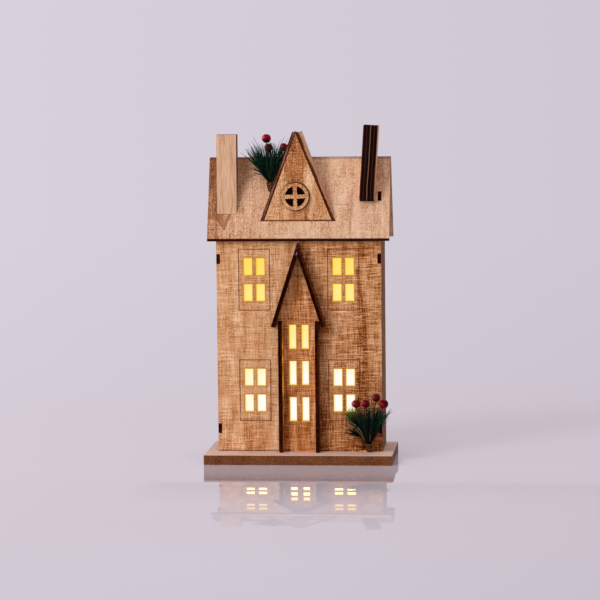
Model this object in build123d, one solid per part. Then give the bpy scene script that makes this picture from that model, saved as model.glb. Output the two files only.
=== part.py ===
from build123d import *
import math
import os

# A lit wooden house: laser-cut plywood panels, held by tabs in slots, on a fibreboard plinth.
# Millimetres and degrees. X runs to the right of the front, Y to the back and Z up.
# The origin is the middle of the plinth's underside.

# Sheet stock and fits
sheet = 3.0  # plywood of every flat panel
film_thick = 0.4  # translucent film behind the panes
fit_gap = 0.1  # play of a tab in its slot and of one light part in another
run_gap = 0.3  # play between pieces that move past each other
rest_gap = 0.1  # air under a piece that slides or turns on a flat face
overrun = 8.0  # how far a blank passes the face that trims it

# Battery light, whose coin cell sets its diameter and with it the depth of the house
light_height = 18.0
light_room = 2.0  # clear space from the light to the walls in front and behind

# Plinth
plinth_side_margin = 9.5  # beside the house
plinth_back_margin = 8.0  # behind the house
plinth_thick = 8.0
plinth_ease = 0.6  # rounding of its top edges

# House shell
house_width = 136.0
house_setback = 24.0  # from the plinth's front edge to the front wall's face
ridge_height = 241.0  # from the plinth's top to the inner ridge line
roof_pitch = 69.0
roof_side_overhang = 7.0
eave_overhang = 4.65  # down the slope past the wall's top
tab_length = 8.0
wall_tab_inset = 19.0  # from each end of a wall to the middle of its tab
roof_tab_drop = 34.0  # down the slope from the ridge to the middle of the gable's tab

# Windows in the front wall, two panes by two
window_place_share = 0.381  # of the way from the bay's film to the house's side
lower_window_height = 50.8  # from the plinth's top to the window's middle
upper_window_drop = 36.1  # from the wall's top to the window's middle
pane_width = 7.0
pane_height = 14.0
pane_mullion = 3.3
pane_transom = 7.4
film_lap = 4.0  # how far a film passes its panes

# Doorway in the back wall
door_side_room = 11.0  # beside the light
door_head_room = 33.0  # above the light's flame
door_corner = 4.0

# Bay on the front wall
bay_inner_width = 27.2  # between the fins
bay_fin_room = 3.9  # from a fin's outer top corner up to the strip over it
bay_fin_depth = 9.0
bay_panel_gap = 0.5  # between the panel's edge and each fin
bay_pitch = 72.0
bay_apex_drop = 5.3  # from the wall's top to the outer apex
bay_roof_overhang = 5.65  # of a strip's foot past its fin
bay_roof_depth = 12.0
bay_sill_height = 25.6  # from the plinth's top to the lowest pane
bay_head_room = 3.3  # from the highest panes up to the fins' tops
bay_pane_width = 5.5
bay_mullion = 4.8
bay_transom = 10.4
bay_rows = 3

# Dormer on the roof's front slope
dormer_pitch = 68.7
dormer_width = 62.6  # over the feet of its roof panels
dormer_setback = 5.77  # from the eave back to its front
dormer_lean = 0.95  # to the left
dormer_offset = 0.4  # from the middle of the house to the left
ring_outer = 22.4
ring_inner = 17.0
ring_bar = 3.2
ring_height = 20.5  # from the dormer's foot to the middle of the ring
ring_offset = 1.4  # from the middle of the dormer to the left

# Chimneys, each a stack of sheet layers
chimney_layers = 4
left_chimney_inset = 8.9  # from the house's left side to its middle
left_chimney_width = 16.2
left_chimney_setback = 3.7  # from the front wall's face back to its front face
left_chimney_height = 19.4  # above the ridge
right_chimney_inset = 11.8  # from the house's right side to its middle at the toe
right_chimney_depth = 16.0
right_chimney_setback = 1.0
right_chimney_height = 26.4
right_chimney_toe_drop = 38.4  # down the slope from the ridge to its toe
right_chimney_lean = 3.7

# Sprigs of artificial pine with berries
stem_length = 8.6
stem_foot_radius = 1.5
stem_top_radius = 2.9
stem_bed = 0.3  # how deep a stem is glued into the faces beside it
binding_thick = 1.0  # the slice that the needles are bound in
binding_margin = 0.3
fan_depth = 7.4  # from the binding's top down to where all needles would meet
needle_radius = 0.17
needle_gap = 0.12
needles_per_sprig = 165
needle_length = 42.0  # from where all needles would meet to the longest tip
needle_trim_share = 0.34  # how much shorter the shortest needle is
rim_trim_share = 0.15  # how much shorter the needles at the rim of the fan are
berry_diameter = 6.4
berry_bore_depth = 1.6
berry_wire_length = 48.6  # from where all needles would meet to the furthest berry
wire_radius = 0.35
golden_share = (math.sqrt(5) - 1) / 2

# Base sprig, in front of the right windows
base_sprig_inset = 10.7  # from the house's right side
base_sprig_wall_gap = 3.8  # from the front wall's face to the stem's middle
base_spread_across = 32.0
base_spread_deep = 14.0
base_wall_angle = 2.0  # between the wall and the needles nearest to it
# Each berry's place as shares of the spread across, the spread in depth and the wire length
base_berry_shares = (
    (-0.36, -0.10, 0.90),
    (-0.08, 0.30, 0.845),
    (0.24, -0.10, 1.0),
    (0.50, 0.20, 0.89),
)

# Roof sprig, in the corner between the dormer and the roof
roof_sprig_height = 24.3  # from the dormer's foot to the stem's foot
roof_spread_across = 23.0
roof_spread_deep = 20.0
roof_sprig_lean = 2.4  # away from the dormer
roof_sprig_tip = 3.0  # away from the roof
roof_berry_shares = (
    (-0.10, 0.75, 0.887),
    (0.10, -0.45, 0.74),
    (0.86, 0.80, 0.768),
)

# Light: cup, flame lens and diode
light_wall = 1.2
light_rim = 2.0
dish_depth = 2.6
dish_sag = 1.0  # how far the dish's curve hangs below its chord
flame_radius = 6.0  # at the dish's hole
flame_belly = 6.7
flame_belly_share = 0.34
flame_height = 22.0
flame_tip = 0.4  # radius of its blunt tip
flame_wall = 1.0
flame_flange = 1.4
flame_flange_thick = 1.0
diode_radius = 2.5
diode_height = 7.6
diode_flange = 0.4
diode_flange_thick = 1.0
lead_width = 0.5
lead_pitch = 2.54
tower_wall = 1.4
tower_height = 7.4

# Light: cell, contacts, cover, battery door and switch
cell_diameter = 20.0
cell_thick = 3.2
cell_cap_radius = 8.4
cell_cap_thick = 0.6
contact_thick = 0.3
contact_width = 4.0
cover_thick = 2.0
well_wall = 1.0
door_margin = 0.6  # from the cell's edge to the battery door's
door_thick = 1.5
door_lip = 0.5  # what the door's lugs hook behind
lug_depth = 0.9
lug_width = 3.0
lug_turn = 40.0  # twist that frees the lugs
coin_slot_length = 11.0
coin_slot_width = 1.8
coin_slot_depth = 0.7
switch_margin = 0.7
switch_flange_width = 3.5
switch_lip = 0.5
switch_flange_length = 5.0
switch_flange_thick = 1.0
switch_knob_length = 2.5
switch_recess = 0.2  # from the cover's underside up to the knob
switch_travel = 2.0

# Worked out from the values above
cell_radius = cell_diameter / 2
battery_door_radius = cell_radius + door_margin
lug_radius = battery_door_radius + lug_depth
well_inner = lug_radius + run_gap
well_outer = well_inner + well_wall
cover_radius = well_outer + switch_flange_width + 2 * switch_margin
cup_inner = cover_radius + fit_gap
light_radius = cup_inner + light_wall
light_diameter = 2 * light_radius

house_depth = light_diameter + 2 * light_room + 2 * sheet
plinth_width = house_width + 2 * plinth_side_margin
plinth_depth = house_setback + house_depth + plinth_back_margin
front_y = house_setback - plinth_depth / 2
back_y = front_y + house_depth
mid_y = front_y + house_depth / 2
floor_z = plinth_thick
ridge_z = floor_z + ridge_height
half_house = house_width / 2
roof_sin = math.sin(math.radians(roof_pitch))
roof_cos = math.cos(math.radians(roof_pitch))
roof_tan = roof_sin / roof_cos
roof_width = house_width + 2 * roof_side_overhang
roof_length = house_depth / 2 / roof_cos + eave_overhang
ridge_top_z = ridge_z + sheet * roof_cos
wall_height = ridge_height - house_depth / 2 * roof_tan
wall_tab_heights = (floor_z + wall_tab_inset, floor_z + wall_height - wall_tab_inset)

roof_front = Plane((0, mid_y - sheet * roof_sin, ridge_top_z), (1, 0, 0), (0, -roof_sin, roof_cos))
roof_back = Plane((0, mid_y + sheet * roof_sin, ridge_top_z), (-1, 0, 0), (0, roof_sin, roof_cos))

bay_tan = math.tan(math.radians(bay_pitch))
bay_sin = math.sin(math.radians(bay_pitch))
bay_cos = math.cos(math.radians(bay_pitch))
bay_roof_length = (bay_inner_width / 2 + sheet + bay_roof_overhang) / bay_cos
bay_apex_z = floor_z + wall_height - bay_apex_drop
bay_inner_apex_z = bay_apex_z - sheet / bay_cos
bay_shoulder_z = bay_inner_apex_z - (bay_inner_width / 2 + sheet) * bay_tan - bay_fin_room
bay_fin_height = bay_shoulder_z - floor_z
bay_grid_height = bay_fin_height - bay_sill_height - bay_head_room
bay_grid_z = floor_z + bay_sill_height + bay_grid_height / 2
bay_pane_height = (bay_grid_height - (bay_rows - 1) * bay_transom) / bay_rows

bay_film_edge = bay_inner_width / 2 + film_lap
window_x = bay_film_edge + window_place_share * (half_house - bay_film_edge)
upper_window_height = wall_height - upper_window_drop

dormer_sin = math.sin(math.radians(dormer_pitch))
dormer_cos = math.cos(math.radians(dormer_pitch))
dormer_tan = dormer_sin / dormer_cos
dormer_y = roof_front.origin.Y - roof_length * roof_cos + dormer_setback


def roof_height_at(y):
    """Height of the roof's front outer face, carried on past the ridge."""
    return ridge_top_z + (y - roof_front.origin.Y) * roof_tan


dormer_foot_z = roof_height_at(dormer_y)
dormer_run = dormer_width / 2 - sheet * dormer_sin
dormer_top_z = dormer_foot_z + dormer_run * dormer_tan
dormer_apex_z = dormer_top_z - sheet * dormer_cos
ring_z = dormer_foot_z + ring_height
ring_place = Pos(-ring_offset, ring_z)
dormer_place = Pos(-dormer_offset, 0, dormer_foot_z) * Rot(Y=-dormer_lean) * Pos(0, 0, -dormer_foot_z)

light_z = floor_z + rest_gap
light_place = Pos(0, mid_y, light_z)
flame_top = light_height - dish_depth + flame_height
cell_z = door_thick + rest_gap
contact_z = cell_z + cell_thick + rest_gap
well_roof_z = contact_z + contact_thick
well_top_z = well_roof_z + well_wall
tower_bore = diode_radius + fit_gap
tower_outer = tower_bore + tower_wall
tower_top_z = well_top_z + tower_height
switch_radius = (well_outer + cover_radius) / 2
switch_slot_width = switch_flange_width - 2 * switch_lip
switch_knob_width = switch_slot_width - 2 * run_gap
switch_slot_length = switch_knob_length + switch_travel + 2 * run_gap
switch_flange_z = cover_thick + rest_gap
switch_top_z = switch_flange_z + switch_flange_thick

door_width = light_diameter + 2 * door_side_room
door_height = flame_top + door_head_room


def upright(outline, front, depth=sheet):
    """Panel with its outline in X and Z, from its front face back by its depth."""
    return extrude(Plane.XZ.offset(-front - depth) * outline, depth)


def edgewise(outline, left, width=sheet):
    """Panel with its outline in Y and Z, from its left face to the right by its width."""
    return extrude(Plane.YZ.offset(left) * outline, width)


def pane_grid(x, z, columns, rows, width, height, mullion, transom):
    grid = GridLocations(width + mullion, height + transom, columns, rows)
    return [Pos(x, z) * spot * Rectangle(width, height) for spot in grid]


def plinth():
    board = Pos(0, 0, plinth_thick / 2) * Box(plinth_width, plinth_depth, plinth_thick)
    return fillet(board.edges().group_by(Axis.Z)[-1], plinth_ease)


def wall_outline():
    """Front or back wall, notched at both edges for the side walls' tabs."""
    outline = Pos(0, floor_z + wall_height / 2) * Rectangle(house_width, wall_height)
    for edge in (-half_house, half_house):
        for height in wall_tab_heights:
            outline -= Pos(edge, height) * Rectangle(2 * (sheet + fit_gap), tab_length + 2 * fit_gap)
    return outline


def window_panes():
    panes = []
    for x in (-window_x, window_x):
        for height in (lower_window_height, upper_window_height):
            panes += pane_grid(x, floor_z + height, 2, 2, pane_width, pane_height, pane_mullion, pane_transom)
    return panes


def bay_light_opening():
    """The hole behind the bay's panel, as wide as the space between the fins."""
    return Pos(0, bay_grid_z) * Rectangle(bay_inner_width, bay_grid_height + 2 * film_lap)


def front_wall():
    return upright(wall_outline() - window_panes() - bay_light_opening(), front_y)


def back_wall():
    doorway = Pos(0, floor_z + door_height / 2) * Rectangle(door_width, door_height)
    doorway = fillet(doorway.vertices().group_by(Axis.Y)[-1], door_corner)
    return upright(wall_outline() - doorway, back_y - sheet)


def side_wall(left):
    """Gabled wall with tabs through the front and back walls and both roof slopes."""
    inner = house_depth / 2 - sheet
    shoulder_z = ridge_z - inner * roof_tan
    outline = Polygon(
        (mid_y - inner, floor_z),
        (mid_y + inner, floor_z),
        (mid_y + inner, shoulder_z),
        (mid_y, ridge_z),
        (mid_y - inner, shoulder_z),
        align=None,
    )
    for height in wall_tab_heights:
        outline += Pos(mid_y, height) * Rectangle(house_depth, tab_length)
    for slope in (-1, 1):
        spot = Pos(mid_y + slope * roof_tab_drop * roof_cos, ridge_z - roof_tab_drop * roof_sin)
        outline += spot * Rot(Z=-slope * roof_pitch) * Rectangle(tab_length, 2 * sheet)
    return edgewise(outline, left)


def roof_panel(plane):
    """Roof slope, hung from the ridge, with a slot for each gable's tab."""
    outline = Pos(0, -roof_length / 2) * Rectangle(roof_width, roof_length)
    for x in (sheet / 2 - half_house, half_house - sheet / 2):
        outline -= Pos(x, -roof_tab_drop) * Rectangle(sheet + 2 * fit_gap, tab_length + 2 * fit_gap)
    return extrude(plane * outline, -sheet)


def window_film(x, bottom, top, width):
    """Film glued to the front wall's inner face."""
    outline = Pos(x, (bottom + top) / 2) * Rectangle(width + 2 * film_lap, top - bottom + 2 * film_lap)
    return upright(outline, front_y + sheet, film_thick)


def side_film(x):
    half_window = pane_height + pane_transom / 2
    bottom = floor_z + lower_window_height - half_window
    top = floor_z + upper_window_height + half_window
    return window_film(x, bottom, top, 2 * pane_width + pane_mullion)


def bay_film():
    half_grid = bay_grid_height / 2 + film_lap
    return window_film(0, bay_grid_z - half_grid, bay_grid_z + half_grid, bay_inner_width)


def bay_front_panel():
    """House-shaped panel: a body between the fins and a gable over their tops."""
    body = bay_inner_width / 2 - bay_panel_gap
    eave = (bay_inner_apex_z - bay_shoulder_z) / bay_tan
    outline = Polygon(
        (-body, floor_z),
        (body, floor_z),
        (body, bay_shoulder_z),
        (eave, bay_shoulder_z),
        (0, bay_inner_apex_z),
        (-eave, bay_shoulder_z),
        (-body, bay_shoulder_z),
        align=None,
    )
    panes = pane_grid(0, bay_grid_z, 2, bay_rows, bay_pane_width, bay_pane_height, bay_mullion, bay_transom)
    return upright(outline - panes, front_y - sheet)


def bay_fin(side):
    x = side * (bay_inner_width + sheet) / 2
    outline = Pos(x, floor_z + bay_fin_height / 2) * Rectangle(sheet, bay_fin_height)
    return upright(outline, front_y - bay_fin_depth, bay_fin_depth)


def bay_roof(side):
    """Sloping strip, mitred at the apex and cut square at the foot."""
    foot_x = bay_roof_length * bay_cos
    foot_z = bay_apex_z - bay_roof_length * bay_sin
    outline = Polygon(
        (0, bay_apex_z),
        (-foot_x, foot_z),
        (sheet * bay_sin - foot_x, foot_z - sheet * bay_cos),
        (0, bay_inner_apex_z),
        align=None,
    )
    strip = upright(outline, front_y - bay_roof_depth, bay_roof_depth)
    return strip if side < 0 else mirror(strip, Plane.YZ)


def on_roof(blank):
    """What of a blank lies outside the roof's front slope, so that it seats there."""
    return split(blank, roof_front, keep=Keep.TOP)


def dormer_front():
    low_z = dormer_foot_z - overrun
    low_x = (dormer_apex_z - low_z) / dormer_tan
    outline = Polygon((-low_x, low_z), (low_x, low_z), (0, dormer_apex_z), align=None)
    outline -= ring_place * Circle(ring_inner / 2)
    return on_roof(dormer_place * upright(outline, dormer_y))


def dormer_window_ring():
    outline = Circle(ring_outer / 2) - Circle(ring_inner / 2)
    bar_length = (ring_outer + ring_inner) / 2
    outline += Rectangle(ring_bar, bar_length)
    outline += Rectangle(bar_length, ring_bar)
    return dormer_place * upright(ring_place * outline, dormer_y - sheet)


def dormer_roof(side):
    """Three-cornered panel whose back edge lies in the plane of the roof's front slope."""
    plane = Plane((sheet * dormer_sin, dormer_y, dormer_top_z), (0, 1, 0), (dormer_sin, 0, dormer_cos))
    length = dormer_run / dormer_cos + overrun
    outline = Pos(house_depth / 2, -length / 2) * Rectangle(house_depth, length)
    panel = extrude(plane * outline, -sheet)
    panel = panel if side > 0 else mirror(panel, Plane.YZ)
    return on_roof(dormer_place * panel)


def left_chimney_layer(index):
    front = front_y + left_chimney_setback + index * sheet
    low = roof_height_at(front) - overrun
    top = ridge_top_z + left_chimney_height
    x = left_chimney_inset - half_house
    outline = Pos(x, (low + top) / 2) * Rectangle(left_chimney_width, top - low)
    return on_roof(upright(outline, front))


def right_chimney_layer(index):
    """Layer of the leaning chimney, trimmed by the slope and by a toe square to it."""
    front = front_y + right_chimney_setback
    toe = roof_front.from_local_coords((0, -right_chimney_toe_drop, 0))
    low = toe.Z - overrun
    top = ridge_top_z + right_chimney_height
    outline = Pos(front + right_chimney_depth / 2, (low + top) / 2) * Rectangle(right_chimney_depth, top - low)
    layer = edgewise(outline, (index - chimney_layers / 2) * sheet)
    foot = Pos(half_house - right_chimney_inset, 0, toe.Z)
    layer = foot * Rot(Y=right_chimney_lean) * Pos(0, 0, -toe.Z) * layer
    return split(on_roof(layer), Plane(toe, (1, 0, 0), roof_front.y_dir), keep=Keep.TOP)


def sprig_needles(frame, across, deep, berries):
    """Straight three-sided needles that fan out of their binding, clear of wires and berries."""
    binding = Ellipse(across + binding_margin, deep + binding_margin)
    binding = extrude(Pos(0, 0, fan_depth) * binding, -binding_thick)
    wire_room = wire_radius + needle_radius + needle_gap
    berry_room = berry_diameter / 2 + needle_radius + needle_gap
    needles = []
    for index in range(needles_per_sprig):
        ring_share = math.sqrt((index + 0.5) / needles_per_sprig)
        turn = 2 * math.pi * golden_share * index
        mouth = Vector(across * ring_share * math.cos(turn), deep * ring_share * math.sin(turn), fan_depth)
        way = mouth.normalized()
        reach = needle_length * (1 - needle_trim_share * (index * golden_share * golden_share % 1))
        reach *= 1 - rim_trim_share * ring_share**2
        blocked = False
        for berry in berries:
            along = berry.dot(way)
            aside = (berry - way * along).length
            blocked = blocked or (berry * (fan_depth / berry.Z) - mouth).length < wire_room
            if aside < berry_room:
                reach = min(reach, along - math.sqrt(berry_room**2 - aside**2))
        if not blocked:
            start = mouth.length - binding_thick / 2
            section = Plane(way * start, z_dir=way) * RegularPolygon(needle_radius, 3)
            needles.append(extrude(section, reach - start))
    return frame * (binding + needles)


def sprig_wires(frame, berries):
    """Straight wires from the binding's top into the berries."""
    wires = []
    for berry in berries:
        way = berry.normalized()
        start = berry * (fan_depth / berry.Z)
        length = berry.length - berry_diameter / 2 + berry_bore_depth - start.length
        wire = extrude(Plane(start, z_dir=way) * Circle(wire_radius), length)
        wires.append(split(wire, Plane((0, 0, fan_depth)), keep=Keep.TOP))
    return Compound(children=[frame * wire for wire in wires])


def berry_ball():
    """Round berry, bored from below for its wire."""
    low = Plane((0, 0, -berry_diameter / 2 - overrun))
    bore = extrude(low * Circle(wire_radius + fit_gap), overrun + berry_bore_depth)
    return Sphere(berry_diameter / 2) - bore


def sprig_berries(frame, berries):
    """Berries turned so that each bore takes its wire."""
    balls = [Plane(berry, z_dir=berry.normalized()) * berry_ball() for berry in berries]
    return Compound(children=[frame * ball for ball in balls])


def sprig_stem(frame, trims):
    """Taped stem under the binding, cut flush with the faces that it is glued to."""
    top = fan_depth - binding_thick
    bottom = fan_depth - stem_length
    stem = Pos(0, 0, (top + bottom) / 2) * Cone(stem_foot_radius, stem_top_radius, top - bottom)
    stem = frame * stem
    for trim in trims:
        stem = split(stem, trim, keep=Keep.TOP)
    return stem


def sprig(name, foot, axis, spread_across, spread_deep, berry_shares, trims):
    """All four pieces of a sprig that grows from its foot along its axis."""
    frame = Plane(foot + axis * (stem_length - fan_depth), (axis.Z, 0, -axis.X), axis)
    across = fan_depth * math.tan(math.radians(spread_across))
    deep = fan_depth * math.tan(math.radians(spread_deep))
    berries = []
    for across_share, deep_share, reach_share in berry_shares:
        way = Vector(across * across_share, deep * deep_share, fan_depth).normalized()
        berries.append(way * (berry_wire_length * reach_share))
    return {
        name + "_stem": sprig_stem(frame, trims),
        name + "_needles": sprig_needles(frame, across, deep, berries),
        name + "_wires": sprig_wires(frame, berries),
        name + "_berries": sprig_berries(frame, berries),
    }


def base_sprig():
    """Sprig on the plinth that leans just enough forward to clear the front wall."""
    axis = Vector(0, 0, 1).rotate(Axis.X, base_spread_deep + base_wall_angle)
    foot = Vector(half_house - base_sprig_inset, front_y - base_sprig_wall_gap, floor_z)
    floor = Plane((0, 0, floor_z))
    return sprig("base_sprig", foot, axis, base_spread_across, base_spread_deep, base_berry_shares, [floor])


def roof_sprig():
    """Sprig glued into the corner between the roof's slope and the dormer's left panel."""
    axis = Vector(0, 0, 1).rotate(Axis.X, roof_sprig_tip).rotate(Axis.Y, -roof_sprig_lean)
    foot_z = dormer_foot_z + roof_sprig_height
    slope_y = roof_front.origin.Y - (ridge_top_z - foot_z) / roof_tan
    dormer_top = (-sheet * dormer_sin, 0, dormer_top_z)
    left_panel = Plane(dormer_top, (0, 1, 0), (-dormer_sin, 0, dormer_cos))
    dormer_face = Plane(dormer_place * left_panel.location)
    bedded = stem_foot_radius - stem_bed
    fall = (foot_z - dormer_face.origin.Z) * dormer_face.z_dir.Z
    foot_x = dormer_face.origin.X + (bedded - fall) / dormer_face.z_dir.X
    foot = Vector(foot_x, slope_y - bedded / roof_sin, foot_z)
    trims = [roof_front, dormer_face]
    return sprig("roof_sprig", foot, axis, roof_spread_across, roof_spread_deep, roof_berry_shares, trims)


def turned(points):
    """Solid of revolution about Z from a closed outline of radii and heights."""
    return revolve(Plane.XZ * make_face(Polyline(*points, close=True)), Axis.Z)


def light_cup():
    """Cup with a dished top like melted wax, a hole for the flame and an open bottom."""
    dish_z = light_height - dish_depth
    hole = flame_radius + fit_gap
    rim = light_radius - light_rim
    sag = Vector((hole + rim) / 2, light_height - dish_depth / 2 - dish_sag)
    drop = Vector(0, -light_wall)
    lines = [
        Line((cup_inner, 0), (light_radius, 0)),
        Line((light_radius, 0), (light_radius, light_height)),
        Line((light_radius, light_height), (rim, light_height)),
        ThreePointArc((rim, light_height), sag, (hole, dish_z)),
        Line((hole, dish_z), (hole, dish_z - light_wall)),
        ThreePointArc((hole, dish_z - light_wall), sag + drop, (rim, light_height - light_wall)),
        Line((rim, light_height - light_wall), (cup_inner, light_height - light_wall)),
        Line((cup_inner, light_height - light_wall), (cup_inner, 0)),
    ]
    return revolve(Plane.XZ * make_face(Curve() + lines), Axis.Z)


def ogive(foot_z, radius, belly, top_z):
    """Pointed solid that swells from its foot's radius to its belly and closes at its top."""
    dish_z = light_height - dish_depth
    belly_z = dish_z + flame_height * flame_belly_share
    lines = [
        Line((0, foot_z), (radius, foot_z)),
        Line((radius, foot_z), (radius, dish_z)),
        ThreePointArc((radius, dish_z), (belly, belly_z), (flame_tip, top_z)),
        Line((flame_tip, top_z), (0, top_z)),
        Line((0, top_z), (0, foot_z)),
    ]
    return revolve(Plane.XZ * make_face(Curve() + lines), Axis.Z)


def light_flame():
    """Hollow pointed lens, held under the dish by a flange."""
    flange_z = light_height - dish_depth - light_wall - rest_gap
    foot_z = flange_z - flame_flange_thick
    lens = ogive(foot_z, flame_radius, flame_belly, flame_top)
    lens += Pos(0, 0, (foot_z + flange_z) / 2) * Cylinder(flame_radius + flame_flange, flame_flange_thick)
    return lens - ogive(foot_z, flame_radius - flame_wall, flame_belly - flame_wall, flame_top - flame_radius)


def light_diode():
    """Diode on the tower's top, with one lead to each contact."""
    seat_z = tower_top_z
    body = Pos(0, 0, seat_z + diode_flange_thick / 2) * Cylinder(diode_radius + diode_flange, diode_flange_thick)
    barrel = diode_height - diode_radius
    body += Pos(0, 0, seat_z + barrel / 2) * Cylinder(diode_radius, barrel)
    body += Pos(0, 0, seat_z + barrel) * Sphere(diode_radius)
    for side, foot_z in ((-1, well_roof_z), (1, well_top_z + contact_thick)):
        length = seat_z - foot_z
        lead = Box(lead_width, lead_width, length)
        body += Pos(side * lead_pitch / 2, 0, foot_z + length / 2) * lead
    return body


def light_coin_cell():
    top = cell_z + cell_thick
    shoulder = top - cell_cap_thick
    return turned([
        (0, cell_z),
        (cell_radius, cell_z),
        (cell_radius, shoulder),
        (cell_cap_radius, shoulder),
        (cell_cap_radius, top),
        (0, top),
    ])


def light_cell_contact():
    """Spring strip between the cell and the roof of its well."""
    return Pos(0, 0, contact_z + contact_thick / 2) * Box(2 * cell_cap_radius, contact_width, contact_thick)


def light_switch_contact():
    """Bent strip over the well's roof, from the diode's second lead down to the switch."""
    leg_y = well_outer + fit_gap
    foot_z = switch_top_z + rest_gap
    start_y = -lead_width
    outline = Polygon(
        (start_y, well_top_z),
        (leg_y, well_top_z),
        (leg_y, foot_z),
        (leg_y + contact_thick, foot_z),
        (leg_y + contact_thick, well_top_z + contact_thick),
        (start_y, well_top_z + contact_thick),
        align=None,
    )
    strip = edgewise(outline, lead_pitch / 2 - lead_width, 2 * lead_width)
    return strip


def light_bottom_cover():
    """Cover plate with the cell's well, the diode's tower, the door's lip and the switch's slot."""
    opening = battery_door_radius + run_gap
    cover = turned([
        (opening, 0),
        (cover_radius, 0),
        (cover_radius, cover_thick),
        (well_outer, cover_thick),
        (well_outer, well_top_z),
        (tower_outer, well_top_z),
        (tower_outer, tower_top_z),
        (tower_bore, tower_top_z),
        (tower_bore, well_roof_z),
        (well_inner, well_roof_z),
        (well_inner, door_lip),
        (opening, door_lip),
    ])
    notch = Rectangle(2 * well_inner, lug_width + 2 * run_gap)
    cover -= Rot(Z=lug_turn) * extrude(notch, door_lip)
    slot = Pos(0, switch_radius) * Rectangle(switch_slot_length, switch_slot_width)
    cover -= extrude(slot, cover_thick)
    strip = Rectangle(2 * lead_width + 2 * fit_gap, tower_outer + fit_gap, align=(Align.CENTER, Align.MIN))
    cover -= Pos(lead_pitch / 2, 0, well_top_z) * extrude(strip, contact_thick + fit_gap)
    return cover


def light_battery_door():
    """Round door with two lugs above the cover's lip and a slot for a coin."""
    lug_z = door_lip + rest_gap
    door = Pos(0, 0, door_thick / 2) * Cylinder(battery_door_radius, door_thick)
    lugs = Rectangle(2 * lug_radius, lug_width) & Circle(lug_radius)
    door += Pos(0, 0, lug_z) * extrude(lugs, door_thick - lug_z)
    coin_slot = SlotOverall(coin_slot_length, coin_slot_width)
    return door - extrude(coin_slot, coin_slot_depth)


def light_switch():
    """Slide switch: a knob in the cover's slot under a flange that keeps it in."""
    flange = Rectangle(switch_flange_length, switch_flange_width)
    knob = Rectangle(switch_knob_length, switch_knob_width)
    switch = Pos(0, 0, switch_flange_z) * extrude(flange, switch_flange_thick)
    switch += Pos(0, 0, switch_recess) * extrude(knob, switch_flange_z - switch_recess)
    return Pos(-switch_travel / 2, switch_radius, 0) * switch


def light():
    """The battery tealight's pieces, standing on the plinth in the middle of the house."""
    pieces = {
        "tealight_cup": light_cup(),
        "tealight_flame": light_flame(),
        "tealight_diode": light_diode(),
        "tealight_coin_cell": light_coin_cell(),
        "tealight_cell_contact": light_cell_contact(),
        "tealight_switch_contact": light_switch_contact(),
        "tealight_bottom_cover": light_bottom_cover(),
        "tealight_battery_door": light_battery_door(),
        "tealight_switch": light_switch(),
    }
    return {name: light_place * piece for name, piece in pieces.items()}


def house():
    pieces = {
        "base_plinth": plinth(),
        "front_wall": front_wall(),
        "back_wall": back_wall(),
        "left_side_wall": side_wall(-half_house),
        "right_side_wall": side_wall(half_house - sheet),
        "roof_front_panel": roof_panel(roof_front),
        "roof_back_panel": roof_panel(roof_back),
        "left_window_film": side_film(-window_x),
        "right_window_film": side_film(window_x),
        "bay_window_film": bay_film(),
        "bay_front_panel": bay_front_panel(),
        "bay_left_fin": bay_fin(-1),
        "bay_right_fin": bay_fin(1),
        "bay_left_roof": bay_roof(-1),
        "bay_right_roof": bay_roof(1),
        "dormer_front": dormer_front(),
        "dormer_window_ring": dormer_window_ring(),
        "dormer_left_roof": dormer_roof(-1),
        "dormer_right_roof": dormer_roof(1),
    }
    for index in range(chimney_layers):
        pieces[f"left_chimney_layer_{index + 1}"] = left_chimney_layer(index)
        pieces[f"right_chimney_layer_{index + 1}"] = right_chimney_layer(index)
    return pieces | base_sprig() | roof_sprig() | light()


os.makedirs("parts", exist_ok=True)
for node, solid in house().items():
    export_step(solid, f"parts/{node}.step")
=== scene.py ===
"""Looks of the lit wooden house: materials, sprigs, lamps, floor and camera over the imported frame."""

import bpy
import bmesh
import math
import random
from collections import namedtuple
from functools import reduce
from mathutils import Matrix, Vector


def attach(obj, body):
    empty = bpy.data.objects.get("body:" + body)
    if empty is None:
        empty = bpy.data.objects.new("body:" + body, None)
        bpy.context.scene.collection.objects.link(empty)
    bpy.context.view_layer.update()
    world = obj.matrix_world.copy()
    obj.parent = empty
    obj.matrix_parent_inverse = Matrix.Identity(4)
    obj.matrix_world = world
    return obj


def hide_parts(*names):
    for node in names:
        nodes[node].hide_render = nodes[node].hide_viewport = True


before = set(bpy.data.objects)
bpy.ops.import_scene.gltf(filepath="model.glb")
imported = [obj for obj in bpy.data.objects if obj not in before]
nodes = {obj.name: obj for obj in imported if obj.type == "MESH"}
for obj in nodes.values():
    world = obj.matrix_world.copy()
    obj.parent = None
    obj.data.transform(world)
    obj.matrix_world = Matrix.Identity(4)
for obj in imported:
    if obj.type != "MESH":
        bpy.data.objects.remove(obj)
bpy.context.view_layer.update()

# Lengths are in millimetres, as in the part's source, and turn into metres when a mesh is made.
mm = 0.001

# Places and sizes that the materials draw on
front_y = -16
floor_z = 8
roof_pitch = math.radians(69)
dormer_pitch = math.radians(68.7)
dormer_lean = math.radians(0.95)
dormer_foot_z = 198.2
dormer_foot_along = 179.8
eave_along = 164.9
ridge_along = 235.3
dormer_apex_z = 270.3
bay_pitch = math.radians(72)
chimney_lean = math.radians(3.7)
chimney_middle = 42.3
sheet = 3
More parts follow.
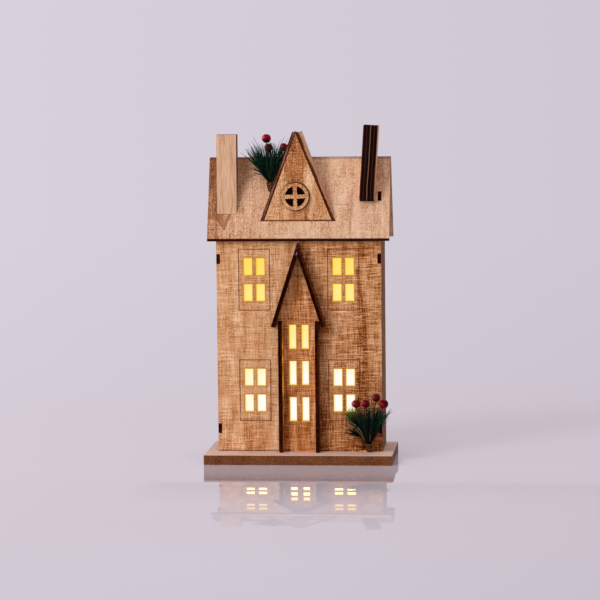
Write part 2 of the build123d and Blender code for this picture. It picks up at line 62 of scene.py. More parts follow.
# Size of a veneer's patches through its sheet, so long that they hardly change there
through_sheet = 60
window_x = 36.8
lower_window_z = 58.8
upper_window_z = 150.4
pane_half_width = 3.5
pane_half_height = 7
pane_half_pitch_across = 5.15
pane_half_pitch_up = 10.7
engraved_half_width = 12.8
engraved_half_height = 25.15
engraved_line = 0.4
bay_pane_half_width = 2.75
bay_pane_half_height = 9.8
bay_pane_half_pitch = 5.15
bay_grid_z = 73.4
bay_row_pitch = 30
bay_fin_inner_x = 13.6
bay_fin_outer_x = 16.6
bay_apex_z = 178.7
bay_foot_z = 108
ring_place = (-2.14, 0, 218.7)
ring_radius = 11.2
glow_place = (18, 8, 34)
lit_needles_place = (42, -22, 42)
glow_reach_shares = (0.8, 1, 1.2)
# The film is brighter and warmer than white can show, and its mirror image brings that out
mirrored_light_shares = (2, 1.65, 0.85)
film_edge_shares = (1, 0.9, 0.42)

# Directions on a sheet: across its grain, along its grain and out of its face
Axes = namedtuple("Axes", "across along facing")
upright = Axes((1, 0, 0), (0, 0, 1), (0, 1, 0))
edgewise = Axes((0, 1, 0), (0, 0, 1), (1, 0, 0))


def sloping(pitch, side):
    """Axes of a sheet that runs along Y and falls to the right, or to the left with side -1."""
    return Axes(
        (0, 1, 0),
        (side * math.cos(pitch), 0, -math.sin(pitch)),
        (side * math.sin(pitch), 0, math.cos(pitch)),
    )


def roof_axes(side):
    """Axes of the roof's back slope, or of its front slope with side -1."""
    return Axes(
        (1, 0, 0),
        (0, -side * math.cos(roof_pitch), math.sin(roof_pitch)),
        (0, side * math.sin(roof_pitch), math.cos(roof_pitch)),
    )


leaning = Axes(
    (0, 1, 0),
    (math.sin(chimney_lean), 0, math.cos(chimney_lean)),
    (math.cos(chimney_lean), 0, -math.sin(chimney_lean)),
)


def channel(value):
    share = value / 255
    return share / 12.92 if share <= 0.04045 else ((share + 0.055) / 1.055) ** 2.4


def colour(red, green, blue):
    """Colour from screen values of 0 to 255."""
    return (channel(red), channel(green), channel(blue), 1)


def shades(*rows):
    """Stops of a colour ramp, from rows of a place and three screen values."""
    return [(place, colour(*values)) for place, *values in rows]


black = colour(0, 0, 0)
rim_light = colour(224, 160, 44)
leaked_light = colour(240, 168, 96)


class Graph:
    """Nodes of one material or world, their owner. Places are in millimetres."""

    def __init__(self, name, owners=bpy.data.materials, shader="Principled BSDF"):
        self.owner = owners.new(name)
        self.owner.use_nodes = True
        self.tree = self.owner.node_tree
        self.shader = self.tree.nodes[shader]
        coordinates = self.add("ShaderNodeTexCoord").outputs
        self.normal = coordinates["Normal"]
        self.generated = coordinates["Generated"]
        self.place = self.vector("SCALE", coordinates["Object"], scale=1 / mm)

    def add(self, kind, *values, **settings):
        """New node with its settings, and with the values in its first sockets."""
        node = self.tree.nodes.new(kind)
        for key, setting in settings.items():
            setattr(node, key, setting)
        for socket, value in zip(node.inputs, values):
            self.feed(socket, value)
        return node

    def feed(self, socket, value):
        if isinstance(value, bpy.types.NodeSocket):
            self.tree.links.new(value, socket)
        else:
            socket.default_value = value

    def set(self, **values):
        """Feeds the shader's sockets, named with underscores for spaces."""
        for key, value in values.items():
            self.feed(self.shader.inputs[key.replace("_", " ")], value)

    def vector(self, operation, *values, scale=None):
        node = self.add("ShaderNodeVectorMath", *values, operation=operation)
        if scale is not None:
            self.feed(node.inputs["Scale"], scale)
        single = operation in ("DOT_PRODUCT", "DISTANCE", "LENGTH")
        return node.outputs["Value" if single else "Vector"]

    def math(self, operation, *values):
        return self.add("ShaderNodeMath", *values, operation=operation).outputs[0]

    def total(self, *values):
        return reduce(lambda first, second: self.math("ADD", first, second), values)

    def less(self, first, second):
        return self.math("SUBTRACT", first, second)

    def times(self, *values):
        return reduce(lambda first, second: self.math("MULTIPLY", first, second), values)

    def fold(self, value, middle, half):
        """Distance from the middle, less half the spacing, so that a mirrored pair falls on zero."""
        return self.less(self.math("ABSOLUTE", self.less(value, middle)), half)

    def fade(self, value, start, end, first=0, last=1, kind="SMOOTHSTEP"):
        """Step from first to last as the value goes from start to end, smooth or of another kind."""
        node = self.add("ShaderNodeMapRange", value, start, end, first, last, interpolation_type=kind)
        return node.outputs["Result"]

    def noise(self, place, size, detail=2):
        """Noise in patches of one size, or of a size across, one along and at will one through a sheet."""
        if not isinstance(size, tuple):
            size = (size, size, size)
        elif len(size) == 2:
            size += (through_sheet,)
        node = self.add("ShaderNodeTexNoise", self.vector("DIVIDE", place, size))
        node.inputs["Scale"].default_value = 1
        node.inputs["Detail"].default_value = detail
        return node.outputs["Fac"]

    def swing(self, place, size, amount, detail=2):
        """Noise from minus the amount to the amount, steep enough to draw streaks."""
        return self.fade(self.noise(place, size, detail), 0.25, 0.75, -amount, amount)

    def band(self, value, middle, half_width, amount=1):
        """The amount inside a band with soft edges, and zero outside."""
        away = self.math("ABSOLUTE", self.less(value, middle))
        return self.fade(away, half_width * 1.3, half_width * 0.7, 0, amount)

    def blend(self, share, first, second):
        node = self.add("ShaderNodeMix", data_type="RGBA")
        colours = [socket for socket in node.inputs if socket.type == "RGBA"]
        self.feed(node.inputs["Factor"], share)
        self.feed(colours[0], first)
        self.feed(colours[1], second)
        return next(socket for socket in node.outputs if socket.type == "RGBA")

    def ramp(self, value, stops):
        node = self.add("ShaderNodeValToRGB", value)
        elements = node.color_ramp.elements
        while len(elements) < len(stops):
            elements.new(1)
        for element, (position, shade) in zip(elements, stops):
            element.position = position
            element.color = shade
        return node.outputs["Color"]

    def mix(self, share, first, second):
        """Shader between two others."""
        return self.add("ShaderNodeMixShader", share, first, second).outputs[0]

    def glow(self, share, shade):
        """Gives the shader its own light where the share is above zero."""
        self.set(Emission_Color=self.blend(share, black, shade), Emission_Strength=1)

    def coat(self, shade, roughness, height, depth, **values):
        """Gives the shader its colour, roughness and relief, and returns the material."""
        bump = self.add("ShaderNodeBump")
        self.feed(bump.inputs["Distance"], depth * mm)
        self.feed(bump.inputs["Height"], height)
        self.set(Base_Color=shade, Roughness=roughness, Normal=bump.outputs["Normal"], **values)
        return self.owner

    def on_sheet(self, axes):
        """Place across, along and out of a sheet."""
        places = [self.vector("DOT_PRODUCT", self.place, way) for way in axes]
        return self.add("ShaderNodeCombineXYZ", *places).outputs["Vector"]

    def parts(self, vector):
        return self.add("ShaderNodeSeparateXYZ", vector).outputs


# Plywood
wall_stops = shades(
    (0, 62, 24, 6), (0.2, 122, 64, 27), (0.35, 158, 92, 48), (0.5, 187, 124, 78),
    (0.65, 209, 153, 107), (0.85, 229, 179, 135), (1, 246, 208, 172),
)
bay_stops = shades(
    (0, 62, 22, 4), (0.2, 122, 61, 22), (0.35, 160, 91, 44), (0.5, 190, 119, 70),
    (0.65, 210, 147, 97), (0.85, 229, 177, 131), (1, 246, 208, 172),
)
roof_stops = shades(
    (0, 112, 58, 32), (0.3, 178, 123, 87), (0.5, 211, 167, 134), (0.72, 228, 190, 161),
    (1, 242, 215, 195),
)
# Greyer, darker colours of both side walls: painted shade, matched to the right wall, which faces away from
# the lamp.
shaded_side_stops = shades((0, 58, 34, 24), (0.25, 124, 84, 62), (0.5, 168, 122, 94), (1, 214, 172, 142))
burnt_stops = shades((0.25, 12, 1, 0), (0.5, 38, 7, 0), (0.75, 72, 28, 9))
scorched_stops = shades((0.25, 40, 11, 2), (0.5, 72, 26, 8), (0.75, 100, 50, 26))
brown_stops = shades((0.25, 104, 72, 54), (0.5, 132, 96, 74), (0.75, 158, 120, 94))
# Strength of a veneer's lines across its grain, its streaks along it, its pores and its slow changes
Figure = namedtuple("Figure", "level upward flecks clouds")
wall_figure = Figure(0.14, 0.13, 0.16, 0.11)
bay_figure = Figure(0.16, 0.16, 0.14, 0.12)
side_figure = Figure(0.07, 0.08, 0.08, 0.07)
roof_figure = Figure(0.05, 0.09, 0.19, 0.1)
dormer_figure = Figure(0.08, 0.12, 0.24, 0.08)
chimney_figure = Figure(0.01, 0.13, 0.03, 0.05)


def grain(graph, spot, figure):
    """Crossed streaks of a sanded rotary-cut veneer, about zero."""
    level = graph.swing(spot, (14, 0.85), figure.level)
    upward = graph.swing(spot, (0.8, 14), figure.upward)
    flecks = graph.swing(spot, (0.7, 0.9), figure.flecks)
    strength = graph.fade(graph.noise(spot, (13, 17)), 0.3, 0.7, 0.7, 1.3)
    clouds = graph.swing(spot, (6, 26), figure.clouds)
    return graph.total(graph.times(graph.total(level, upward, flecks), strength), clouds)


def charred_edge(stops):
    """Plies of a cut edge, darkened by the laser."""

    def edge(graph, spot):
        plies = graph.swing(spot, (70, 70, 0.5), 0.25, detail=1)
        char = graph.swing(spot, 3, 0.15)
        return graph.ramp(graph.total(plies, char, 0.5), stops)

    return edge


burnt_edge = charred_edge(burnt_stops)


def glue_and_glint_edge(graph, spot):
    """Burnt edge with a smear of dried glue near the apex, painted pale with its glint."""
    height = graph.parts(graph.place)[2]
    spots = graph.fade(graph.noise(graph.place, (1.2, 1.2, 2)), 0.52, 0.62, 0, 0.7)
    glue_glint = graph.times(graph.fade(height, 170, 172.5), graph.fade(height, 178.5, 176.5), spots)
    return graph.blend(glue_glint, burnt_edge(graph, spot), colour(172, 150, 160))


def dormer_edge(inner_face, ply_shares, ply):
    """Red-brown edge of a dormer panel with one paler ply between two shares of its thickness."""
    start, end = [inner_face + sheet * share for share in ply_shares]

    def edge(graph, spot):
        out = graph.parts(spot)[2]
        wavering = graph.total(out, graph.swing(spot, 6, 0.3))
        strength = graph.fade(graph.noise(spot, (60, 9)), 0.35, 0.6, 0.3, 1)
        pale = graph.times(graph.band(wavering, (start + end) / 2, (end - start) / 2), strength)
        return graph.blend(pale, charred_edge(scorched_stops)(graph, spot), ply)

    return edge


def stacked_edge(graph, spot):
    """Edges of the right chimney's layers: near black, with pale glue in the middle and thin seams."""
    out = graph.parts(spot)[2]
    wavering = graph.total(out, graph.swing(spot, 20, 0.25))
    plies = graph.swing(spot, (70, 70, 0.4), 0.25, detail=1)
    char = graph.ramp(graph.total(plies, 0.5), shades((0.3, 5, 3, 5), (0.7, 28, 12, 10)))
    seams = graph.band(graph.fold(wavering, chimney_middle, sheet), 0, 0.3, 0.4)
    face = graph.blend(seams, char, colour(96, 46, 26))
    outer = graph.band(graph.fold(wavering, chimney_middle, 2 * sheet), 0, 0.7, 0.8)
    face = graph.blend(outer, face, colour(94, 38, 18))
    return graph.blend(graph.band(wavering, chimney_middle, 0.35, 0.85), face, colour(134, 90, 66))


def edge_share(graph, axes):
    """One on the edges of a sheet and zero on its faces."""
    turned = graph.math("ABSOLUTE", graph.vector("DOT_PRODUCT", graph.normal, axes.facing))
    return graph.fade(turned, 0.8, 0.6)


def plywood(name, axes, stops, figure, tone, mark, edge):
    """Sheet with veneer faces and burnt edges. Tone gives the shade over the face and mark draws on it."""
    graph = Graph(name)
    spot = graph.on_sheet(axes)
    streaks = grain(graph, spot, figure)
    shade = graph.total(streaks, tone(graph, spot) if callable(tone) else tone)
    face = graph.ramp(shade, stops)
    if mark:
        face = mark(graph, spot, face)
    face = graph.blend(edge_share(graph, axes), face, edge(graph, spot))
    roughness = graph.fade(shade, 0.2, 0.9, 0.75, 0.58)
    return graph.coat(face, roughness, streaks, 0.1, Specular_IOR_Level=0.02)


def wall_tone_and_shade(graph, spot):
    """Pale on the left, palest beside the fin, and redder and lined on the right with one dark stripe, with
    painted shade under the eave and painted shadow beside the bay.
    """
    across, along = graph.parts(spot)[:2]
    wavering = graph.total(across, graph.swing(spot, (9, 30), 3))
    right = graph.fade(wavering, -20, 56)
    lines = graph.times(right, graph.swing(spot, (10, 0.7), 0.2, detail=3))
    stripe = graph.times(graph.fade(across, 47, 48.2), graph.fade(wavering, 58, 53))
    stripe = graph.times(stripe, graph.fade(along, 172, 150))
    stripe = graph.times(stripe, graph.total(graph.swing(spot, (1.2, 1.2), 0.11), -0.18))
    low = graph.times(right, graph.fade(along, 84, 14, 0, -0.22))
    foot = graph.times(graph.band(wavering, -36, 10), graph.fade(along, 48, 30, 0, -0.13))
    # Painted shade under the eave, deeper towards the right.
    eave_shade = graph.times(graph.fade(across, 24, 50, -0.05, -0.13), graph.fade(along, 162, 176))
    base = graph.fade(right, 0, 1, 0.68, 0.55)
    left_fin = graph.times(graph.fade(across, -27, -20, 0, 0.11), graph.fade(across, -14, -16))
    left_fin = graph.times(left_fin, graph.fade(along, bay_foot_z + 8, bay_foot_z - 8, 0.5, 1))
    return graph.total(base, lines, stripe, low, foot, eave_shade, left_fin, bay_shade(graph, across, along))


def bay_shade(graph, across, along):
    """Painted shadow on the wood to the right of the bay, which stands between it and the light."""
    facing = sloping(bay_pitch, 1).facing
    over = graph.less(along, bay_apex_z)
    off_strip = graph.total(graph.times(across, facing[0]), graph.times(over, facing[2]))
    wide = graph.fade(off_strip, 9, 1, 0, -0.2)
    narrow = graph.fade(off_strip, 2.2, 0.4, 0, -0.25)
    above = graph.fade(along, bay_foot_z - 4, bay_foot_z)
    beside_strip = graph.times(graph.total(wide, narrow), above)
    off_fin = graph.less(across, bay_fin_outer_x)
    below = graph.fade(along, bay_foot_z, bay_foot_z - 4)
    beside_fin = graph.times(graph.fade(off_fin, 12, 2, 0, -0.2), below)
    return graph.times(graph.total(beside_strip, beside_fin), graph.fade(across, 0, 2))


def window_fold(graph, spot):
    """Place about the middle of the nearest window."""
    across, along = graph.parts(spot)[:2]
    middle = (lower_window_z + upper_window_z) / 2
    half = (upper_window_z - lower_window_z) / 2
    return graph.fold(across, 0, window_x), graph.fold(along, middle, half)


def box_distance(graph, across, up, half_width, half_height):
    """How far a place lies outside a rectangle, and less than zero inside."""
    return graph.math("MAXIMUM", graph.fold(across, 0, half_width), graph.fold(up, 0, half_height))


def window_outside(graph, spot):
    """How far a place lies outside the nearest pane of the side windows."""
    across, up = window_fold(graph, spot)
    across = graph.fold(across, 0, pane_half_pitch_across)
    up = graph.fold(up, 0, pane_half_pitch_up)
    return box_distance(graph, across, up, pane_half_width, pane_half_height)


def bay_outside(graph, spot):
    """How far a place lies outside the nearest of the bay's panes, which stand in three rows."""
    across, along = graph.parts(spot)[:2]
    row = graph.math("DIVIDE", graph.less(along, bay_grid_z), bay_row_pitch)
    row = graph.math("MINIMUM", graph.math("MAXIMUM", graph.math("ROUND", row), -1), 1)
    up = graph.less(along, graph.total(graph.times(row, bay_row_pitch), bay_grid_z))
    across = graph.fold(across, 0, bay_pane_half_pitch)
    return box_distance(graph, across, up, bay_pane_half_width, bay_pane_half_height)


def engraving(graph, spot, face):
    """Thin engraved frame round each window."""
    across, up = window_fold(graph, spot)
    outside = box_distance(graph, across, up, engraved_half_width, engraved_half_height)
    away = graph.math("ABSOLUTE", outside)
    broken = graph.fade(graph.noise(spot, 4), 0.2, 0.6, 0.45, 0.9)
    line = graph.times(graph.fade(away, engraved_line * 1.6, engraved_line * 0.6), broken)
    return graph.blend(line, face, colour(112, 48, 20))


def lit_rim(graph, outside):
    """One at the edge of a pane, where the wood gets a painted glow of the pane's light."""
    return graph.fade(outside, 0.6, 0.1)


def painted_spill_rim(graph, outside, face):
    """Painted spill of the pane's warm light on the wood round a pane, darker and warmer than the bare wood.
    """
    return graph.blend(graph.fade(outside, 1.7, 0.6, 0, 0.6), face, colour(186, 122, 48))


def wall_mark(graph, spot, face):
    """Engraved frames, painted glow at lit panes, a dark line at the left fin, painted shade along the foot,
    and painted light that leaks out there.
    """
    outside = window_outside(graph, spot)
    lit = lit_rim(graph, outside)
    face = painted_spill_rim(graph, outside, face)
    across, along = graph.parts(spot)[:2]
    off_fin = graph.total(across, bay_fin_outer_x)
    below = graph.fade(along, bay_foot_z, bay_foot_z - 2)
    beside_fin = graph.times(graph.fade(off_fin, -1.6, -0.9), below)
    beside_fin = graph.times(beside_fin, graph.fade(across, 2, 0, 0, 0.8))
    face = graph.blend(beside_fin, face, colour(58, 22, 8))
    spots = graph.fade(graph.noise(spot, (1.6, 30, 30), detail=0), 0.45, 0.6, 0, 0.6)
    leak = graph.times(graph.band(across, 49.5, 8), graph.fade(along, floor_z + 1.5, floor_z + 0.6), spots)
    graph.glow(graph.math("MAXIMUM", lit, leak), graph.blend(lit, leaked_light, rim_light))
    # Painted shade along the wall's foot, where it meets the plinth.
    foot = graph.fade(along, floor_z + 1.6, floor_z + 0.4, 0, 0.7)
    face = graph.blend(foot, engraving(graph, spot, face), colour(66, 30, 12))
    return graph.blend(lit, face, black)


def bay_mark(graph, spot, face):
    """Lit pane edges in three rows."""
    outside = bay_outside(graph, spot)
    lit = lit_rim(graph, outside)
    graph.glow(lit, rim_light)
    return graph.blend(lit, painted_spill_rim(graph, outside, face), black)


def bay_tone_light_and_shade(graph, spot):
    """Painted shadow next to the left fin, and painted light next to the right one and in the gable."""
    across, along = graph.parts(spot)[:2]
    below = graph.fade(along, bay_foot_z + 4, bay_foot_z)
    # Painted shadow of the left fin, low down.
    left = graph.fade(across, -3, -9.5, 0, -0.13)
    # Painted warm light next to the right fin, low down, and in the gable.
    right = graph.fade(across, 8, 11, 0, 0.08)
    gable = graph.fade(along, bay_foot_z, bay_foot_z + 12, 0, 0.05)
    return graph.total(0.505, graph.times(left, below), graph.times(right, below), gable)


def roof_tone_and_shade(graph, spot):
    """Darker towards both ends, with the painted shadow of the left chimney beside it."""
    across, along = graph.parts(spot)[:2]
    wavering = graph.total(across, graph.swing(spot, (6, 20), 4))
    right = graph.fade(across, 48, 66, 0, -0.05)
    left = graph.fade(wavering, -12, -34, 0, -0.07)
    # Painted shadow of the left chimney on the roof.
    beside = graph.times(graph.fade(across, -41, -49.5, 0, -0.14), graph.fade(along, 184, 190))
    return graph.total(graph.fade(wavering, -74, -52, 0.33, 0.53), right, left, beside)


def roof_figures(graph, spot, face):
    """Pointed brown figure under the left chimney and faint joints of the veneer."""
    across, along = graph.parts(spot)[:2]
    aside = graph.less(across, -61)
    rise = graph.math("MAXIMUM", graph.times(aside, 2.5), graph.times(aside, -1.5))
    depth = graph.less(graph.less(along, 172.6), rise)
    depth = graph.total(depth, graph.swing(spot, 2, 1))
    below = graph.fade(along, 186.4, 185.4)
    figure = graph.times(graph.fade(depth, -0.4, 0.6), graph.fade(depth, 9.5, 6))
    patch = graph.times(graph.band(along, 184, 2.4), graph.fade(across, -60, -63))
    figure = graph.times(graph.math("MAXIMUM", figure, patch), below)
    face = graph.blend(graph.times(figure, 0.7), face, colour(150, 90, 58))
    joints = (
        graph.times(graph.band(along, 186.3, 0.5, 0.55), graph.fade(across, -50, -54)),
        graph.times(graph.band(along, 194, 0.35, 0.4), graph.band(across, 36, 6.5)),
        graph.times(graph.band(across, 43, 0.35, 0.35), graph.fade(along, 194, 190)),
    )
    lines = graph.times(graph.band(depth, 0.2, 0.8, 0.6), below)
    for joint in joints:
        lines = graph.math("MAXIMUM", lines, joint)
    return graph.blend(lines, face, colour(116, 64, 38))


def roof_mark(graph, spot, face):
    """Figures of the veneer, a burnt margin at the eave, a darker margin at the ridge, and painted shade
    under the dormer.
    """
    across, along = graph.parts(spot)[:2]
    face = roof_figures(graph, spot, face)
    burn = graph.fade(along, eave_along + 0.7, eave_along - 0.2)
    face = graph.blend(burn, face, colour(58, 13, 0))
    ridge = graph.fade(along, ridge_along - 2.6, ridge_along - 1.2, 0, 0.4)
    face = graph.blend(ridge, face, colour(96, 60, 38))
    # Painted shade on the roof inside the dormer, where little light reaches.
    rise = graph.times(graph.less(along, dormer_foot_along), math.sin(roof_pitch))
    height = graph.total(rise, dormer_foot_z)
    half = graph.math("DIVIDE", graph.less(dormer_apex_z - sheet, height), math.tan(dormer_pitch))
    inside = graph.fade(graph.less(half, graph.math("ABSOLUTE", across)), 0, 1.5)
    dormer_shade = graph.times(inside, graph.fade(height, dormer_foot_z + 0.5, dormer_foot_z + 2))
    return graph.blend(dormer_shade, face, colour(60, 40, 28))


def dormer_tone(graph, spot):
    """Darker towards the apex, with a pale streak to the right of the ring."""
    across, along = graph.parts(spot)[:2]
    wavering = graph.total(across, graph.swing(spot, (6, 20), 2.5))
    middle = graph.times(graph.band(wavering, -2, 8), graph.fade(along, 216, 236))
    streak = graph.times(graph.band(wavering, 11, 2.4), graph.fade(along, 250, 236))
    low = graph.times(graph.band(across, 0.3, 8), graph.fade(along, 209, 204))
    seam = graph.times(graph.band(wavering, 8.6, 0.8), graph.fade(along, 211, 207))
    right = graph.times(graph.fade(across, 9, 13), graph.fade(along, 234, 226))
    marks = ((middle, -0.28), (streak, 0.13), (low, -0.15), (seam, -0.2), (right, -0.08))
    return graph.total(0.67, *[graph.times(share, change) for share, change in marks])


def dormer_mark(graph, spot, face):
    """Dark joint along the foot and a dark line round the ring, darker on its right."""
    across, along = graph.parts(spot)[:2]
    away = graph.vector("DISTANCE", graph.vector("MULTIPLY", graph.place, (1, 0, 1)), ring_place)
    side = graph.fade(across, ring_place[0] - 8, ring_place[0] + 2, 0.55, 1)
    ring_outline = graph.times(graph.band(away, ring_radius + 0.3, 0.8, 0.8), side)
    foot = graph.fade(along, dormer_foot_z + 2, dormer_foot_z + 0.9, 0, 0.85)
    return graph.blend(graph.math("MAXIMUM", ring_outline, foot), face, colour(88, 38, 16))


def fibreboard():
    """Pale pressed faces and brown sawn edges."""
    graph = Graph("fibreboard")
    turned = graph.parts(graph.normal)[2]
    top = graph.fade(graph.math("ABSOLUTE", turned), 0.5, 0.9)
    fibres = graph.swing(graph.place, (1.2, 1.2, 0.6), 0.26)
    clouds = graph.swing(graph.place, 14, 0.1)
    shade = graph.total(fibres, clouds, 0.5)
    face = graph.ramp(shade, shades((0.2, 202, 164, 146), (0.8, 234, 200, 184)))
    edge = graph.ramp(shade, shades((0.2, 82, 41, 17), (0.8, 136, 81, 47)))
    return graph.coat(graph.blend(top, edge, face), 0.6, shade, 0.1, Specular_IOR_Level=0.15)


def fin_glow(graph, spot, face):
    """Light from the gap beside the bay's panel on the inner face of a fin."""
    across, along, out = graph.parts(spot)
    depth = graph.fade(across, -23.5, -19.5)
    inner = graph.fade(graph.math("ABSOLUTE", out), bay_fin_inner_x + 0.4, bay_fin_inner_x + 0.1)
    height = graph.fade(graph.math("ABSOLUTE", graph.less(along, 76)), 40, 16, 0.25, 1)
    uneven = graph.fade(graph.noise(spot, (60, 9)), 0.3, 0.62, 0.3, 1)
    graph.glow(graph.times(depth, inner, height, uneven), colour(255, 158, 52))
    return face


film_reach = 170
# Red, green and blue of the film's light, each after its distance from the flame
film_lights = (
    (30, 1, 0.97, 0.92), (51, 1, 0.97, 0.9), (54.5, 1, 0.95, 0.72), (64, 1, 0.93, 0.65),
    (73, 1, 0.92, 0.56), (88, 1, 0.83, 0.31), (110, 1, 0.82, 0.28), (135, 0.99, 0.8, 0.25),
    (159, 0.98, 0.73, 0.135),
)


def window_film():
    """Film lit from behind, whitest next to the flame."""
    graph = Graph("window_film")
    offset = graph.vector("MULTIPLY", graph.vector("SUBTRACT", graph.place, glow_place), glow_reach_shares)
    away = graph.vector("LENGTH", offset)
    away = graph.total(away, graph.swing(graph.place, 6, 2))
    stops = [(distance / film_reach, (*light, 1)) for distance, *light in film_lights]
    light = graph.ramp(graph.math("DIVIDE", away, film_reach), stops)
    spot = graph.on_sheet(upright)
    outside = graph.math("MINIMUM", window_outside(graph, spot), bay_outside(graph, spot))
    edge = graph.fade(outside, -1.3, -0.1, 0, 0.8)
    light = graph.blend(edge, light, graph.vector("MULTIPLY", light, film_edge_shares))
    path = graph.add("ShaderNodeLightPath")
    nearness = graph.fade(graph.parts(graph.place)[2], 140, 80, 1, 1.7)
    mirrored = graph.vector("SCALE", graph.vector("MULTIPLY", light, mirrored_light_shares), scale=nearness)
    graph.set(
        Base_Color=colour(60, 46, 22),
        Roughness=0.6,
        Specular_IOR_Level=0.1,
        Emission_Color=graph.blend(path.outputs["Is Glossy Ray"], light, mirrored),
        Emission_Strength=1,
    )
    return graph.owner


def plastic(name, shade, roughness):
    """Moulded plastic with a faint orange-peel skin and soft mottling."""
    graph = Graph(name)
    mottle = graph.noise(graph.place, 5)
    dark = tuple(part * 0.86 for part in shade[:3]) + (1,)
    face = graph.blend(graph.fade(mottle, 0.3, 0.7), dark, shade)
    skin = graph.noise(graph.place, 0.5)
    return graph.coat(face, roughness, skin, 0.02, Subsurface_Weight=0.1)


def glowing_flame():
    graph = Graph("flame_plastic")
    height = graph.parts(graph.place)[2]
    light = graph.ramp(
        graph.fade(height, 22, 46),
        [(0, (1.6, 0.8, 0.2, 1)), (0.5, (1.6, 1.25, 0.7, 1)), (1, (1.2, 0.7, 0.2, 1))],
    )
    graph.set(Emission_Color=light, Emission_Strength=1)
    return graph.coat(colour(250, 226, 180), 0.4, graph.noise(graph.place, 1), 0.05)


def metal(name, shade, roughness):
    """Rolled metal with fine scratches."""
    graph = Graph(name)
    scratches = graph.noise(graph.place, (6, 0.2, 6))
    dark = tuple(part * 0.75 for part in shade[:3]) + (1,)
    face = graph.blend(graph.fade(scratches, 0.3, 0.7), dark, shade)
    return graph.coat(face, roughness, scratches, 0.01, Metallic=1)


# Sprigs: where each one's needles would meet, its directions, its spread and the faces it stays clear of
Sprig = namedtuple(
    "Sprig",
    "name origin across deep along spread_left spread_right spread_deep long_share "
    "berries berry_radii shoots strays twigs walls seed",
)
stem_top = 7.4
neck_share = 0.32
needle_count = 300
needle_scatter = 0.05
needle_height = 41
rim_drop_share = 0.14
needle_root = 0.36
needle_tip = 0.1
shoot_needle_count = 26
shoot_needle_lean = 0.4
needle_bend = 1.6
needle_clearance = 0.4
needle_steps = 5
needle_shares = (0.46, 0.33, 0.21)
wire_radius = 0.35
twig_radius = 0.5
# Direction in which the berries get a painted lit side and a painted highlight
berry_highlight_way = Vector((-0.6, -0.75, 0.25)).normalized()

base_sprig = Sprig(
    name="base_sprig",
    origin=Vector((57.3, -20.13, 9.15)),
    across=Vector((1, 0, 0)),
    deep=Vector((0, 0.9613, 0.2756)),
    along=Vector((0, -0.2756, 0.9613)),
    spread_left=0.6,
    spread_right=0.5,
    spread_deep=math.tan(math.radians(14)),
    long_share=0.72,
    berries=((47.7, -32.91, 49.87), (55.26, -28.46, 49.31), (64.51, -34.53, 55.01), (70.18, -29.52, 49.36)),
    berry_radii=(3.45, 3.35, 3.45, 3.8),
    shoots=(
        ((-2, -2.5, 9), (-12, -4, 16)),
        ((-2, -2.5, 9), (-12, -6, 29)),
        ((-8, -3, 19), (-15, -3.5, 28)),
        ((2, -2.5, 9), (11.5, -5.5, 29)),
        ((0, -3, 9), (1, -9, 34)),
    ),
    strays=(
        ((-2, -2, 9), (-9, -3, 14.5), (-15.5, -3.5, 13.5), (-19.5, -4, 7.5)),
        ((-2, -2, 9), (-8, -2.5, 14), (-13, -3, 16.5), (-17.5, -3.5, 18)),
        ((-2, -2, 9), (-8, -3.5, 13.5), (-14, -4, 16), (-17, -4.5, 20.5)),
        ((-2, -2, 9.5), (-7.5, -3, 15), (-12.5, -3.5, 18.5), (-16.5, -4, 22)),
        ((-2, -2, 8.5), (-8.5, -2.5, 13), (-14.5, -3, 14), (-18.5, -3.5, 15.5)),
        ((-2, -2.5, 8.5), (-7, -4, 12.5), (-12, -4.5, 15), (-14.5, -5, 14)),
        ((2, -2, 9), (8, -4, 22), (14, -5, 30), (18.5, -5.5, 36)),
        ((2, -2, 9), (8.5, -4, 20), (13.5, -5, 27), (18, -5.5, 33.5)),
        ((2, -2, 9), (7.5, -4, 18), (12.5, -5, 25), (16.5, -5.5, 29)),
    ),
    twigs=(
        ((-3, -6, 9.5), (-5.6, -9, 16.4), (-10, -11, 22.6), (-18, -12, 28)),
        ((-3, -6, 9.5), (-6.6, -9, 15.4), (-11.2, -11, 20.8), (-18.5, -12, 25.5)),
        ((1, -5, 9), (2, -9, 20), (2.6, -12, 28), (2, -14, 38)),
    ),
    walls=(((0, front_y, 0), (0, -1, 0)), ((0, 0, floor_z), (0, 0, 1))),
    seed=3,
)
roof_facing = Vector(roof_axes(-1).facing)
dormer_left_facing = Vector(sloping(dormer_pitch + dormer_lean, -1).facing)
